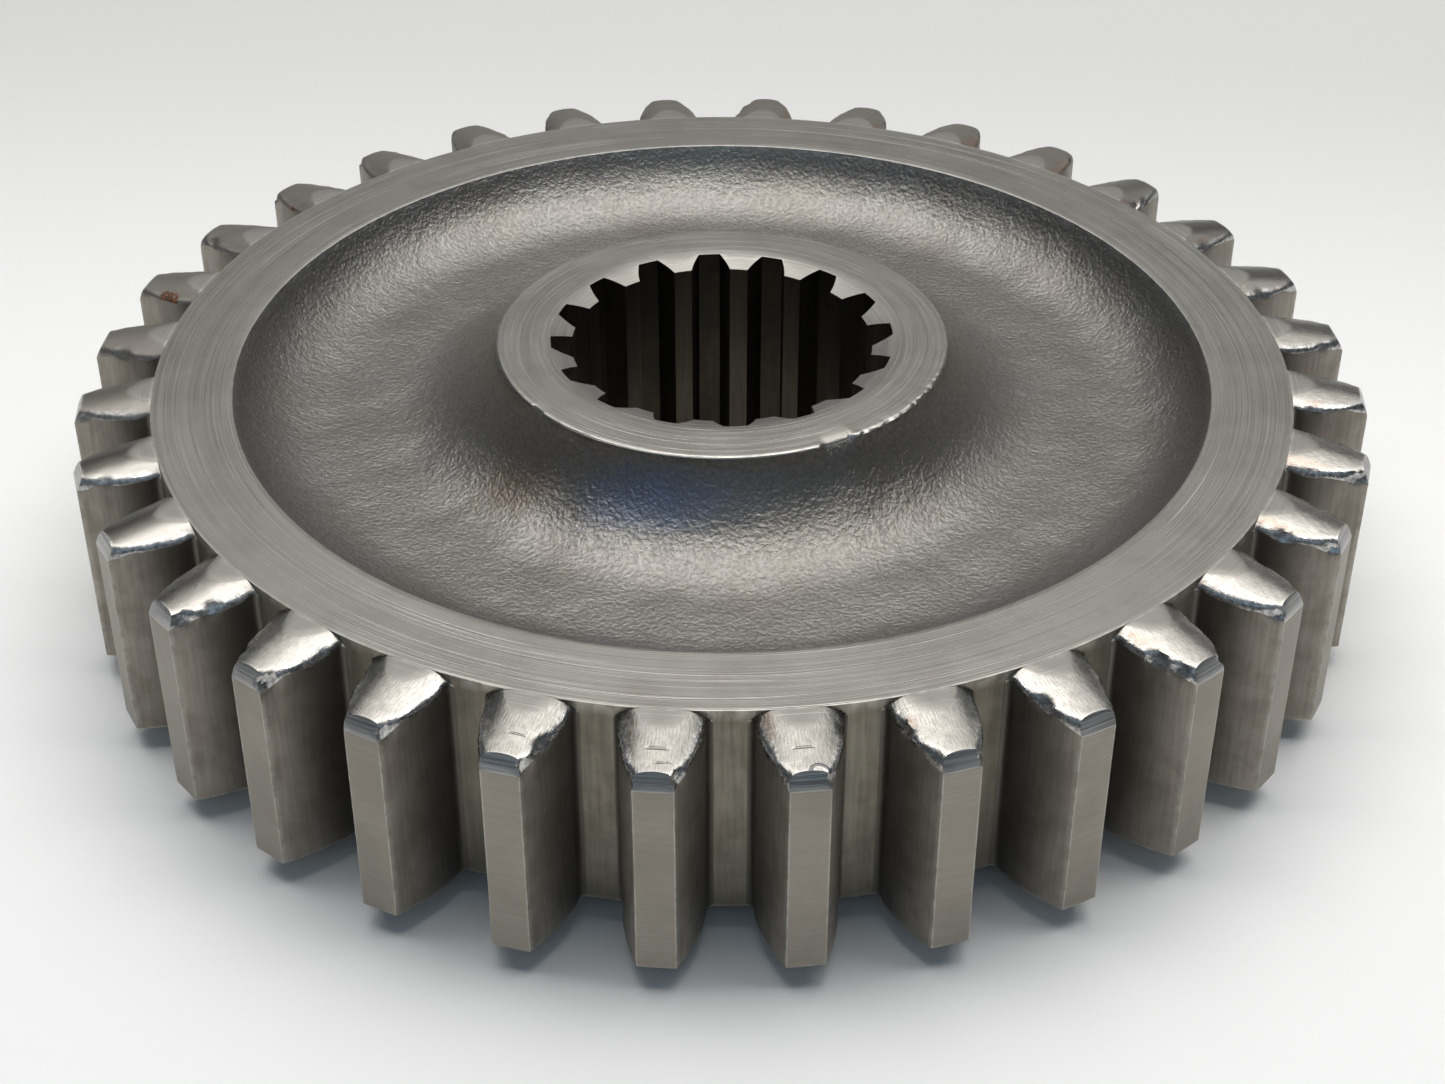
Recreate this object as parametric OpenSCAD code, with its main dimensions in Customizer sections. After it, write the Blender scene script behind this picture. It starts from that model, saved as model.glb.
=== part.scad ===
// Sliding spur gear: a forged steel disc with turned faces, stub involute teeth whose
// upper ends are rounded so that they slip into mesh, and a broached splined bore.
// The origin is the centre of the lower hub face, on the gear's axis, with +Z up.

/* [Teeth] */
// Diameter over the tips of the teeth
outside_diameter = 170.69; // [160:0.01:210]
// Number of teeth
teeth = 32; // [28:1:40]
// Pressure angle of the involute flanks, in degrees
pressure_angle = 20; // [18:0.5:24]
// Height of a tooth outside the pitch circle, as a share of the module
addendum_share = 0.8; // [0.6:0.01:0.9]
// Depth of a tooth gap inside the pitch circle, as a share of the module
dedendum_share = 1.2125; // [1:0.0025:1.3]
// Width taken off each tooth at the pitch circle for running clearance
backlash = 0.2; // [0:0.05:0.5]
// Fillet radius where a flank meets the bottom of the gap
root_fillet = 0.8; // [0.4:0.1:1.2]
// Length of the teeth along the axis
face_width = 28.8; // [24:0.1:34]

/* [Rounded tooth ends] */
// Length of the sloping end, measured inwards from the tip
end_length = 7.3; // [4:0.1:9]
// Slope of the end, falling towards the tip, in degrees
end_slope = 10; // [4:0.5:16]
// Radius of the crown across the end
end_crown = 8; // [7:0.1:14]
// Depth of the cap, the facet between the end and the tip, measured along the radius
cap_depth = 1.05; // [0.5:0.05:1.6]
// Tilt of the cap from the tip of the tooth, in degrees
cap_tilt = 31; // [24:0.5:40]

/* [Rim and web] */
// Wall of the rim between the tooth gaps and the recess
rim_wall = 10.5; // [7:0.1:14]
// Radius of the dished fillet between the rim and the web
rim_fillet = 13.5; // [12:0.1:16]
// Thickness of the web
web_thickness = 13.2; // [11:0.1:16]

/* [Hub] */
// Wall of the hub outside the spline
hub_wall = 7.25; // [5:0.05:12]
// Height of each hub face above the rim
hub_proud = 3.4; // [1:0.1:6]
// Radius of the dished fillet between the hub and the web
hub_fillet = 15; // [14:0.1:18]
// Chamfer on the hub's outer edges
hub_chamfer = 0.25; // [0.15:0.05:1]
// Straight band of the hub below its chamfer
hub_band = 0.6; // [0.3:0.05:2]

/* [Splined bore] */
// Number of spline grooves
spline_teeth = 16; // [12:1:20]
// Spline module: pitch diameter divided by the number of grooves
spline_module = 2.7; // [2.4:0.01:3]
// Pressure angle of the spline flanks, in degrees
spline_angle = 30; // [28:0.5:32]
// Depth of a groove outside the spline's pitch circle
groove_depth = 1.17; // [0.8:0.01:1.4]
// Height of a land inside the spline's pitch circle
land_height = 1.57; // [1:0.01:1.8]
// Turn of the first groove from the first tooth, in degrees
groove_turn = 9.4; // [0:0.1:30]
// Depth of the chamfer at each mouth of the bore
mouth_chamfer = 0.95; // [0.5:0.05:2]

/* [Hidden] */
$fn = 180;

// Straight steps along each involute flank, and along each root fillet
flank_steps = 8;
fillet_steps = 4;
// Overshoot of a cut past the surface that it opens
over = 1;
// Fillet arcs dip this far past the faces that they join, so that they cross them cleanly
fillet_dip = 0.02;

// Module: the pitch diameter divided by the number of teeth
tooth_module = outside_diameter / (teeth + 2 * addendum_share);

// Radii of the toothed rim
tip_r = outside_diameter / 2;
pitch_r = teeth * tooth_module / 2;
root_r = pitch_r - dedendum_share * tooth_module;
recess_r = root_r - rim_wall;
tooth_pitch = 360 / teeth;
tooth_half = tooth_pitch / 4 - backlash / pitch_r * 90 / PI;

// Radii of the bore and the hub
spline_pitch_r = spline_teeth * spline_module / 2;
groove_r = spline_pitch_r + groove_depth;
land_r = spline_pitch_r - land_height;
groove_half = 90 / spline_teeth;
// The mouth's chamfer clears the bottoms of the grooves by this much
mouth_margin = 0.15;
mouth_r = groove_r + mouth_margin;
hub_r = groove_r + hub_wall;

// Heights above the lower hub face
rim_low = hub_proud;
rim_top = rim_low + face_width;
hub_top = rim_top + hub_proud;
web_top = hub_top / 2 + web_thickness / 2;
hub_band_z = hub_top - hub_chamfer - hub_band;

// Rounded tooth end: where its slope starts, and the cap that joins it to the tip
end_start_r = tip_r - end_length;
cap_top_z = rim_top - (end_length - cap_depth) * tan(end_slope);
cap_low_z = cap_top_z - cap_depth / tan(cap_tilt);
// The end is cut no deeper than this, which is below its lowest edge
end_cut = end_crown / 2;

// A point at a radius and an angle
function polar(r, a) = [r * cos(a), r * sin(a)];

// Involute of an angle, in degrees
function inv(a) = tan(a) * 180 / PI - a;

// Half the angle that a tooth spans at radius r, from its half angle at the pitch circle
function half_angle(r, pitch, pressure, half) =
    let (base = pitch * cos(pressure))
    half + inv(pressure) - inv(acos(min(1, base / r)));

// Points up one flank, from radius r0 to radius r1
function flank(r0, r1, pitch, pressure, half) =
    [for (i = [0 : flank_steps])
        let (r = r0 + (r1 - r0) * i / flank_steps)
        polar(r, half_angle(r, pitch, pressure, half))];

// Points round the fillet from the bottom of the gap up to the foot of the flank
function root_arc() =
    let (
        foot = half_angle(root_r, pitch_r, pressure_angle, tooth_half),
        mid_r = root_r + root_fillet - fillet_dip,
        mid_a = foot + asin(root_fillet / mid_r),
        mid = polar(mid_r, mid_a)
    )
    [for (i = [0 : fillet_steps])
        let (turn = mid_a + 180 + (foot + 90 - mid_a) * i / fillet_steps)
        mid + polar(root_fillet, turn)];

// The same points on the other side of the X axis, in the opposite order
function mirrored(pts) = [for (i = [len(pts) - 1 : -1 : 0]) [pts[i].x, -pts[i].y]];

// Outline of one tooth on the +X axis, reaching past the tip circle
module tooth_outline() {
    flank_start = max(pitch_r * cos(pressure_angle), root_r + root_fillet);
    side = concat(
        [polar(root_r - over, half_angle(root_r, pitch_r, pressure_angle, tooth_half))],
        root_arc(),
        flank(flank_start, tip_r + over, pitch_r, pressure_angle, tooth_half)
    );
    polygon(concat(side, mirrored(side)));
}

// The spaces between the teeth, cut through the whole rim
module tooth_gaps() {
    translate([0, 0, rim_low - over])
        linear_extrude(face_width + 2 * over)
            difference() {
                circle(tip_r + over / 2);
                circle(root_r);
                for (i = [0 : teeth - 1])
                    rotate(i * tooth_pitch)
                        tooth_outline();
            }
}

// The sloping cylinder that one rounded tooth end follows
module end_form() {
    reach = end_length + rim_wall;
    translate([end_start_r, 0, rim_top])
        rotate([0, end_slope, 0])
            translate([-reach, 0, -end_crown])
                rotate([0, 90, 0])
                    cylinder(r = end_crown, h = 2 * reach);
}

// What the rounding takes off the upper ends of all the teeth, outside the rim
module end_rounding() {
    difference() {
        rotate_extrude()
            translate([root_r, rim_top - end_cut])
                square([tip_r + over - root_r, end_cut + over]);
        for (i = [0 : teeth - 1])
            rotate(i * tooth_pitch)
                end_form();
    }
}

// How far in from the edge of an arc its centre lies, where the edge is a rise above the web
function inset(radius, rise) = sqrt(radius * radius - pow(max(0, radius - rise), 2));

// Half section of the recess on the upper side: a dish of two arcs and the flat web
module recess_section() {
    hub_mid = [hub_r + inset(hub_fillet, hub_band_z - web_top), web_top + hub_fillet];
    rim_mid = [recess_r - inset(rim_fillet, rim_top - web_top), web_top + rim_fillet];
    top = hub_top + hub_fillet + rim_fillet;
    polygon([
        [hub_r, top],
        [hub_r, hub_mid.y],
        [hub_mid.x, web_top],
        [rim_mid.x, web_top],
        [recess_r, rim_mid.y],
        [recess_r, top]
    ]);
    translate(hub_mid) circle(hub_fillet);
    translate(rim_mid) circle(rim_fillet);
}

// Half section of the turned forging, before the teeth and the bore are cut
module blank_section() {
    difference() {
        union() {
            polygon([
                [0, rim_low],
                [tip_r, rim_low],
                [tip_r, cap_low_z],
                [tip_r - (rim_top - cap_low_z) * tan(cap_tilt), rim_top],
                [0, rim_top]
            ]);
            polygon([
                [0, 0],
                [hub_r - hub_chamfer, 0],
                [hub_r, hub_chamfer],
                [hub_r, hub_top - hub_chamfer],
                [hub_r - hub_chamfer, hub_top],
                [0, hub_top]
            ]);
        }
        recess_section();
        translate([0, hub_top]) mirror([0, 1]) recess_section();
    }
}

// The bore: the circle inside the lands, the grooves, and a chamfer at each mouth
module splined_bore() {
    translate([0, 0, -over])
        linear_extrude(hub_top + 2 * over) {
            circle(land_r);
            intersection() {
                circle(groove_r);
                for (i = [0 : spline_teeth - 1])
                    rotate(groove_turn + i * 360 / spline_teeth)
                        groove_outline();
            }
        }
    mouth();
    translate([0, 0, hub_top]) mirror([0, 0, 1]) mouth();
}

// Outline of one spline groove on the +X axis, from inside the lands to past its bottom
module groove_outline() {
    side = flank(land_r - over / 2, groove_r + over / 2, spline_pitch_r, spline_angle, groove_half);
    polygon(concat(side, mirrored(side)));
}

// Chamfer at the lower mouth of the bore, widening towards the face
module mouth() {
    slope = (mouth_r - land_r) / mouth_chamfer;
    translate([0, 0, -over])
        cylinder(r1 = mouth_r + over * slope, r2 = land_r, h = mouth_chamfer + over);
}

module sliding_gear() {
    color([0.62, 0.60, 0.57])
        difference() {
            rotate_extrude() blank_section();
            tooth_gaps();
            end_rounding();
            splined_bore();
        }
}

sliding_gear();
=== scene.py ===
# %% [markdown]
# # A worn sliding gear
# The gear comes from a gearbox in which it slides along a splined shaft and pushes its
# teeth into mesh. The construction model gives its place and overall size. This lesson
# builds the visible surface with the wear that the plain solid lacks, and gives each kind of
# surface its own finish.

# %% Load the construction model and keep its box
import math

import bmesh
import bpy
import numpy as np
from mathutils import Matrix, Vector


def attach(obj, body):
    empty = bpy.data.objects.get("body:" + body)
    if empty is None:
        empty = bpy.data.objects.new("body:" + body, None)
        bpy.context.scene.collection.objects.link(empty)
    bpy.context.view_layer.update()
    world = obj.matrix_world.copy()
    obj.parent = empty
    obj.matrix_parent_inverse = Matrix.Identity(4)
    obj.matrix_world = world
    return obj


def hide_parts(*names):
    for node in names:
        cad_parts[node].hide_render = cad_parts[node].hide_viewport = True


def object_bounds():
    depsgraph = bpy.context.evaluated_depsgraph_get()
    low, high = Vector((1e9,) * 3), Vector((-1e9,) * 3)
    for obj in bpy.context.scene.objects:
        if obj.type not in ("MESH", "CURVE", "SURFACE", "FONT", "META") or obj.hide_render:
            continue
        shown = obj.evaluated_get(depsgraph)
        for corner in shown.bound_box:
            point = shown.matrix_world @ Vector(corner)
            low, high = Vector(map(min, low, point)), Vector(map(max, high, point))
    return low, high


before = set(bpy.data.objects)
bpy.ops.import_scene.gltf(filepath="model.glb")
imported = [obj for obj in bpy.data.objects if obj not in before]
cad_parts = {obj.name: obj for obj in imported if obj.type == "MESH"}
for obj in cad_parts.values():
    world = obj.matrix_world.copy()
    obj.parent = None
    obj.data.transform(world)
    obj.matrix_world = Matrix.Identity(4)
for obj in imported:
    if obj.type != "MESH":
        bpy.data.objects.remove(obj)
cad_low, cad_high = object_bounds()
MM = 0.001
print("CAD box, mm:", [round((h - l) / MM, 2) for l, h in zip(cad_low, cad_high)])

# %% [markdown]
# ## Sizes of the toothed rim
# The gear has 32 stub teeth, which are short for their pitch and so stand up to clashing.
# The tip radius and the hub's length are read from the model's box, so that the scene stays
# in step with it. Shapes are worked out in millimetres and turned into metres at the end.

# %% Radii and heights of the toothed rim, in millimetres
tip_r = cad_high.x / MM
hub_top = cad_high.z / MM
teeth = 32
addendum_share = 0.8
dedendum_share = 1.2125
hub_proud = 3.4

tooth_module = 2 * tip_r / (teeth + 2 * addendum_share)
pitch_r = teeth * tooth_module / 2
root_r = pitch_r - dedendum_share * tooth_module
tooth_pitch = 2 * math.pi / teeth
rim_low, rim_top = hub_proud, hub_top - hub_proud
print(f"module {tooth_module:.3f}, tip {tip_r:.2f}, root {root_r:.2f}, rim to {rim_top:.2f}")

# %% [markdown]
# ## The outline of a tooth
# A gear flank is an involute: the path of the end of a string that unwinds from the base
# circle. It could be traced from a picture, but the formula is exact. One flank is sampled
# from the fillet at the bottom of the gap to the tip, with short steps near the tip, where
# the end is worn.

# %% Fillet at the foot of a tooth
pressure = math.radians(20)
backlash = 0.2
root_fillet = 0.8


def inv(angle):
    """Involute of an angle in radians: its tangent less the angle."""
    return np.tan(angle) - angle


def half_angle(r, base, middle, at_pressure):
    """Half angle of a tooth at radius r: middle, the one on the pitch circle, plus the involute
    of the pressure angle, less the involute of the angle whose cosine is base / r."""
    return middle + inv(at_pressure) - inv(np.arccos(np.minimum(1.0, base / r)))


base_r = pitch_r * math.cos(pressure)
tooth_half = tooth_pitch / 4 - backlash / pitch_r / 2
foot_a = half_angle(root_r, base_r, tooth_half, pressure)
fillet_mid_r = root_r + root_fillet
fillet_mid_a = foot_a + math.asin(root_fillet / fillet_mid_r)
fillet_turn = np.linspace(fillet_mid_a + math.pi, foot_a + 1.5 * math.pi, 5)
fillet_x = fillet_mid_r * math.cos(fillet_mid_a) + root_fillet * np.cos(fillet_turn)
fillet_y = fillet_mid_r * math.sin(fillet_mid_a) + root_fillet * np.sin(fillet_turn)
fillet_r = np.hypot(fillet_x, fillet_y)
print(f"fillet from radius {fillet_r[0]:.2f} to {fillet_r[-1]:.2f}")

# %% Flank of a tooth as radius and half angle
cap_depth = 1.05
tip_steps = np.array([2.1, 1.7, 1.35, cap_depth, 0.78, 0.5, 0.24, 0.07, 0.0])
flank_r = np.concatenate([
    np.linspace(fillet_r[-1], tip_r - tip_steps[0], 14)[1:-1],
    tip_r - tip_steps,
])
flank_a = half_angle(flank_r, base_r, tooth_half, pressure)
flank_r = np.concatenate([fillet_r, flank_r])
flank_a = np.concatenate([np.arctan2(fillet_y, fillet_x), flank_a])
print(f"flank of {len(flank_r)} points, tip half angle {math.degrees(flank_a[-1]):.2f} degrees")

# %% [markdown]
# ## The rounded tooth ends
# The upper ends are rounded so that they find their way into the gaps of the mating gear.
# Each is a cylinder that lies along the tooth and slopes down to the tip, so the height falls
# with the slope along the radius and with the circle's sagitta across the tooth. Years of
# clashing have rolled the flank edges over. One end could be sculpted, but a height from a
# formula makes all 32, each a little different.

# %% Crown and rolled edges of the tooth ends
SEED = 32
rng = np.random.default_rng(SEED)
end_length = 7.3
end_crown = 8.6
mean_slope = 10
corner_size = 0.75
end_start_r = tip_r - end_length
end_slope = np.radians(mean_slope + rng.normal(0, 0.5, (teeth, 1, 1)))
edge_size = rng.uniform(0.2, 0.4, (2, teeth, 1, 1))
# Teeth at the front took harder blows, on the flank that faces the middle of the front
edge_size[0, -7:] += 0.3
edge_size[1, 16:24] += 0.15
edge_phase = rng.uniform(0, 2 * math.pi, (2, teeth, 1, 1))

across = np.array([0.2, 0.4, 0.58, 0.72, 0.83, 0.91, 0.965, 1.0])
across = np.concatenate([-across[::-1], [0.0], across])


def ramp(value, low, high):
    """Rises smoothly from 0 at low to 1 at high: three t squared less two t cubed."""
    t = np.clip((value - low) / (high - low), 0, 1)
    return t * t * (3 - 2 * t)


def edge_radius(r):
    """Radius of the rolled flank edges: wavy, small at the rim and largest at the tip's corners."""
    left, right = edge_size * (1 + 0.25 * np.sin(1.3 * r + edge_phase))
    rolled = np.where(across < 0, left, right) * (0.4 + 0.6 * ramp(r, root_r, root_r + 4))
    return rolled + corner_size * ramp(r, tip_r - 3.2, tip_r - 0.8)


def end_fall(r, half):
    """Fall below the end's ridge: the crown's sagitta plus a quarter circle on each flank edge."""
    u = r * half * across
    edge = edge_radius(r)
    inset = np.clip(r * half * (1 - np.abs(across)), 0, edge)
    crown_fall = end_crown - np.sqrt(end_crown**2 - u**2)
    return crown_fall + edge - np.sqrt(edge**2 - (edge - inset) ** 2)


print(f"edges rolled by {edge_size.min():.2f} to {edge_size.max():.2f} mm, {len(across)} columns")

# %% [markdown]
# ## The cap
# A facet, the cap, leads from the rounded end to the tip. Its border is a crisp arch. A cut
# would leave ragged faces along it, so the rows of the grid are bent until one runs along it.

# %% Height of every tooth end over its own plan
cap_tilt = math.radians(31)
cap_r = tip_r - cap_depth
bend_reach = 1.05
least_cap = 0.06
cap_roll = 0.3
cap_fall = 1 / math.tan(cap_tilt) - np.tan(end_slope)
arch = end_fall(cap_r, np.interp(cap_r, flank_r, flank_a)) / cap_fall
arch = np.minimum(arch, cap_depth - least_cap)
bend = np.clip(1 - (cap_r - flank_r) / bend_reach, 0, 1)
bend = np.minimum(bend, (tip_r - flank_r) / cap_depth)
grid_r = flank_r[:, None] + bend[:, None] * arch
grid_half = np.interp(grid_r, flank_r, flank_a)
ridge_z = rim_top - (grid_r - end_start_r) * np.tan(end_slope)
cap_z = ridge_z - (grid_r - cap_r) * cap_fall
cap_z -= cap_roll * np.clip((grid_r - cap_r) / cap_depth, 0, 1) ** 4
end_z = np.minimum(np.minimum(rim_top, ridge_z - end_fall(grid_r, grid_half)), cap_z)
crease = int(np.argmin(np.abs(flank_r - cap_r)))
print(f"ends fall {rim_top - end_z.min():.2f} mm at most, grid {end_z.shape}, arch in row {crease}")

# %% [markdown]
# ## A patchwork of grids
# Cuts and bevels on a cylinder would give the main forms, but with long thin faces that can't
# carry wear. So each surface is a grid of points. A patch is an array whose last two grid
# axes are its rows and columns, and an axis before them repeats it on every tooth. Patches
# share the points along their borders, and one merge at the end makes a single closed skin.

# %% Helpers that collect patches
patch_points, patch_faces, patch_zones, patch_rub_glints = [], [], [], []
ZONES = [
    "turned_face", "forged_web", "rounded_end", "cap", "flank", "tip_land", "root_land", "bore",
]


def polar(r, a, z):
    """Points at radius r, angle a and height z, broadcast to one shape."""
    r, a, z = np.broadcast_arrays(r, a, z)
    return np.stack([r * np.cos(a), r * np.sin(a), z], axis=-1)


def add_patch(points, zone, rub_glint=0.0):
    """Adds a grid of points joined along the last two axes, and marks the points on a worn edge
    that also gets a painted highlight.
    """
    index = np.arange(points[..., 0].size).reshape(points.shape[:-1])
    index += sum(len(p) for p in patch_points)
    quads = np.stack([
        index[..., :-1, :-1], index[..., 1:, :-1], index[..., 1:, 1:], index[..., :-1, 1:],
    ], axis=-1).reshape(-1, 4)
    patch_points.append(points.reshape(-1, 3))
    patch_rub_glints.append(np.broadcast_to(rub_glint, points.shape[:-1]).ravel())
    patch_faces.append(quads)
    patch_zones.append(np.full(len(quads), ZONES.index(zone)))


def add_ring(r, a, z, zone):
    """Adds a patch that runs right round the axis: rows of r and z, columns of angles."""
    points = polar(r, a, z)
    add_patch(np.concatenate([points, points[:, :1]], axis=1), zone)


print("zones:", ZONES)

# %% [markdown]
# ## The teeth
# Every tooth is six patches: the rounded end, its cap, the plain lower end, two flanks and the
# tip land. Copies of one tooth would be simpler, but no two ends are alike.

# %% Patches of the teeth
tooth_a = (np.arange(teeth) * tooth_pitch)[:, None, None]
down = np.array([0, 0.015, 0.04, 0.09, 0.2, 0.4, 0.65, 0.85, 0.95, 0.988, 1.0])


def wall_heights(top):
    """Heights of the points of a wall, from its top edge down to the lower ends of the teeth."""
    return top[..., None] + (rim_low - top[..., None]) * down


end_a = tooth_a + grid_half * across
end_points = polar(grid_r, end_a, end_z)
# Points on the crease along the cap's border get a painted highlight, a thin bright line
on_crease = np.arange(len(flank_r))[:, None] == crease
add_patch(end_points[:, :crease + 1], "rounded_end", on_crease[:crease + 1])
add_patch(end_points[:, crease:], "cap", on_crease[crease:])
add_patch(polar(grid_r, end_a, rim_low), "turned_face")
for column in (0, -1):
    wall_z = wall_heights(end_z[:, :, column])
    add_patch(polar(grid_r[:, :, column, None], end_a[:, :, column, None], wall_z), "flank")
tip_a = tooth_a + flank_a[-1] * across[:, None]
add_patch(polar(tip_r, tip_a, wall_heights(end_z[:, -1])), "tip_land")
print("patches:", len(patch_points), "points:", sum(map(len, patch_points)))

# %% [markdown]
# ## The gaps
# Between two teeth lies the root land. Where an end dips below the rim's face, a sliver of
# the rim's own wall shows, and it gets a patch too. No real edge is sharp, so the edge of the
# face drops by a hair, the lip, except where a tooth end runs on flush.

# %% Patches of the gaps
lip = 0.025
root_a = flank_a[0]
gap_share = np.linspace(0, 1, 5)
gap_a = root_a + (tooth_pitch - 2 * root_a) * gap_share
step_z = end_z[:, 0, -1:] * (1 - gap_share) + np.roll(end_z[:, 0, :1], -1, axis=0) * gap_share
gap_top = np.full((teeth, len(gap_share), 1), rim_top - lip)
gap_z = np.concatenate([gap_top, wall_heights(step_z)], axis=2)
add_patch(polar(root_r, tooth_a + gap_a[:, None], gap_z), "root_land")
lip_z = rim_top - lip * ramp(rim_top - end_z[:, 0], 0, 0.1)
sliver_z = np.stack([end_z[:, 0], lip_z], axis=2)
add_patch(polar(root_r, tooth_a + root_a * across[:, None], sliver_z), "root_land")
print("patches:", len(patch_points), "points:", sum(map(len, patch_points)))

# %% [markdown]
# ## The bore's outline
# The splined bore is broached: sixteen grooves with involute flanks at 30 degrees. Its outline
# gets as many points round the circle as the toothed rim has, so that every surface between
# the two can be a ring of straight columns.

# %% Sizes of the splined bore
grooves = 16
spline_module = 2.7
spline_pressure = math.radians(30)
groove_turn = math.radians(9.4)
groove_depth = 1.17
land_height = 1.57
spline_pitch_r = grooves * spline_module / 2
spline_base_r = spline_pitch_r * math.cos(spline_pressure)
groove_r = spline_pitch_r + groove_depth
land_r = spline_pitch_r - land_height
print(f"grooves reach {groove_r:.2f}, lands {land_r:.2f}")

# %% Outline of the bore and the angles of all columns
rim_columns = np.concatenate([root_a * across, gap_a[1:-1]])
rim_a = (np.arange(teeth)[:, None] * tooth_pitch + rim_columns).ravel()

# A sector is five runs: half a land, a flank, the groove's bottom, a flank and half a land
RUNS = 5
run = len(rim_a) // grooves // RUNS
groove_half = math.pi / grooves / 2
side_r = np.linspace(land_r, groove_r, run + 1)[:-1]
side_a = half_angle(side_r, spline_base_r, groove_half, spline_pressure)
bottom_a = float(half_angle(groove_r, spline_base_r, groove_half, spline_pressure))
sector_r = np.concatenate([
    np.full(run, land_r), side_r, np.full(run, groove_r),
    [groove_r], side_r[:0:-1], np.full(run, land_r),
])
sector_a = np.concatenate([
    np.linspace(-math.pi / grooves, -side_a[0], run, endpoint=False), -side_a,
    np.linspace(-bottom_a, bottom_a, run, endpoint=False),
    [bottom_a], side_a[:0:-1],
    np.linspace(side_a[0], math.pi / grooves, run, endpoint=False),
])
sector_mid = groove_turn + np.arange(grooves) * 2 * math.pi / grooves
bore_a = (sector_mid[:, None] + sector_a).ravel()
bore_r = np.tile(sector_r, grooves)
first = int(np.argmin(np.abs(bore_a - 2 * math.pi - rim_a[0])))
bore_a = np.concatenate([bore_a[first:] - 2 * math.pi, bore_a[:first]])
bore_r = np.roll(bore_r, -first)
lead = math.degrees(bore_a[0] - rim_a[0])
print(f"{len(rim_a)} columns, bore starts {lead:.2f} degrees from the rim")

# %% [markdown]
# ## The recess
# The web is thinner than the rim and the hub, which saves weight. Its section is a dish: an
# arc down from the rim's edge, the flat web, and an arc up to a narrow straight band on the
# hub. A Screw modifier could turn it, but not with the columns that the teeth need. So the
# section is a fine line, sampled at even steps of its length.

# %% Section of the recess, sampled along its length
rim_wall = 10.5
rim_fillet = 13.5
rim_break = 0.05
web_thickness = 13.2
hub_wall = 7.25
hub_fillet = 15
hub_chamfer = 0.25
hub_band = 0.6
recess_r = root_r - rim_wall
hub_r = groove_r + hub_wall
web_top = (hub_top + web_thickness) / 2


def inset(radius, rise):
    """How far in from an edge, a rise above the web, the centre of its arc lies: the root of
    the radius squared less the square of the radius less the rise."""
    return math.sqrt(radius**2 - max(0.0, radius - rise) ** 2)


def recess_section(steps):
    """Radius and height along the upper recess, from the rim's edge to the hub's chamfer."""
    rim_rise, hub_rise = rim_top - web_top, hub_top - hub_chamfer - hub_band - web_top
    rim_tilt = np.linspace(math.acos(1 - rim_rise / rim_fillet), 0, 80)
    hub_tilt = np.linspace(0, math.acos(1 - hub_rise / hub_fillet), 80)
    r = np.concatenate([
        recess_r - inset(rim_fillet, rim_rise) + rim_fillet * np.sin(rim_tilt),
        hub_r + inset(hub_fillet, hub_rise) - hub_fillet * np.sin(hub_tilt), [hub_r],
    ])
    z = np.concatenate([
        web_top + rim_fillet * (1 - np.cos(rim_tilt)),
        web_top + hub_fillet * (1 - np.cos(hub_tilt)), [hub_top - hub_chamfer],
    ])
    length = np.concatenate([[0], np.cumsum(np.hypot(np.diff(r), np.diff(z)))])
    even = np.concatenate([np.linspace(0, length[-2], steps), length[-1:]])
    z = np.interp(even, length, z)
    z[0] -= rim_break
    return np.interp(even, length, r), z


print(f"recess from {recess_r:.2f} to {hub_r:.2f}, {rim_top - web_top:.2f} deep at the rim")

# %% [markdown]
# ## Both sides of the disc
# The rim's face, the recess, the hub's face and the bore's chamfered mouth follow each other
# from the outside in. The lower side is the same set, mirrored, with fewer rows because it is
# hidden. The columns turn step by step from the rim's spacing to the bore's. Thin rows at the
# edges of the faces hold a small break, which catches the light as on real metal.

# %% Patches of both sides and of the bore
mouth_margin = 0.15
mouth_depth = 0.95
hub_round = 0.35
hub_share = 0.6
mouth_r = groove_r + mouth_margin
mouth_fall = (mouth_r - bore_r) * mouth_depth / (mouth_r - land_r)


def blend_columns(share):
    """Angles of the columns, a share of the way from the rim's spacing to the bore's."""
    share = np.asarray(share, float).reshape(-1, 1)
    return (1 - share) * rim_a + share * bore_a


def add_side(flip, web_steps, face_steps, mouth_steps):
    """Adds one side of the disc: the rim's face, the recess, the hub's face and the mouth."""
    def level(z):
        return hub_top - z if flip else z

    face_r = root_r - rim_wall * face_steps
    face_z = np.full((len(face_r), len(rim_a)), rim_top)
    face_z[-1] -= rim_break
    if not flip:
        in_gap = np.full((teeth, len(gap_share) - 2), rim_top - lip)
        face_z[0] = np.concatenate([lip_z, in_gap], axis=1).ravel()
    face_a = blend_columns(np.zeros(len(face_r)))
    add_ring(face_r[:, None], face_a, level(face_z), "turned_face")
    web_r, web_z = recess_section(web_steps)
    web_a = blend_columns(np.linspace(0, hub_share, len(web_r)))
    add_ring(web_r[:, None], web_a, level(web_z)[:, None], "forged_web")
    hub_face_r = hub_r - np.array([0, 0.08, 0.2, hub_round, 0.7])
    hub_face_r = np.concatenate([hub_face_r, np.linspace(hub_r - 2, mouth_r, 4)])
    rounding = np.clip(1 - (hub_r - hub_face_r) / hub_round, 0, 1) ** 2
    hub_face_z = hub_top - hub_chamfer * rounding
    hub_a = blend_columns(np.linspace(hub_share, 1.0, len(hub_face_r)))
    add_ring(hub_face_r[:, None], hub_a, level(hub_face_z)[:, None], "turned_face")
    part = np.linspace(0, 1, mouth_steps + 1)[:, None]
    mouth_rows_r = mouth_r + (bore_r - mouth_r) * part
    add_ring(mouth_rows_r, bore_a, level(hub_top - mouth_fall * part), "turned_face")


fine_face = np.array([0, 0.014, 0.043, 0.11, 0.28, 0.5, 0.75, 0.92, 0.988, 1.0])
plain_face = np.array([0, 0.05, 0.5, 0.988, 1.0])
add_side(False, 30, fine_face, 2)
add_side(True, 12, plain_face, 1)

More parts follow.
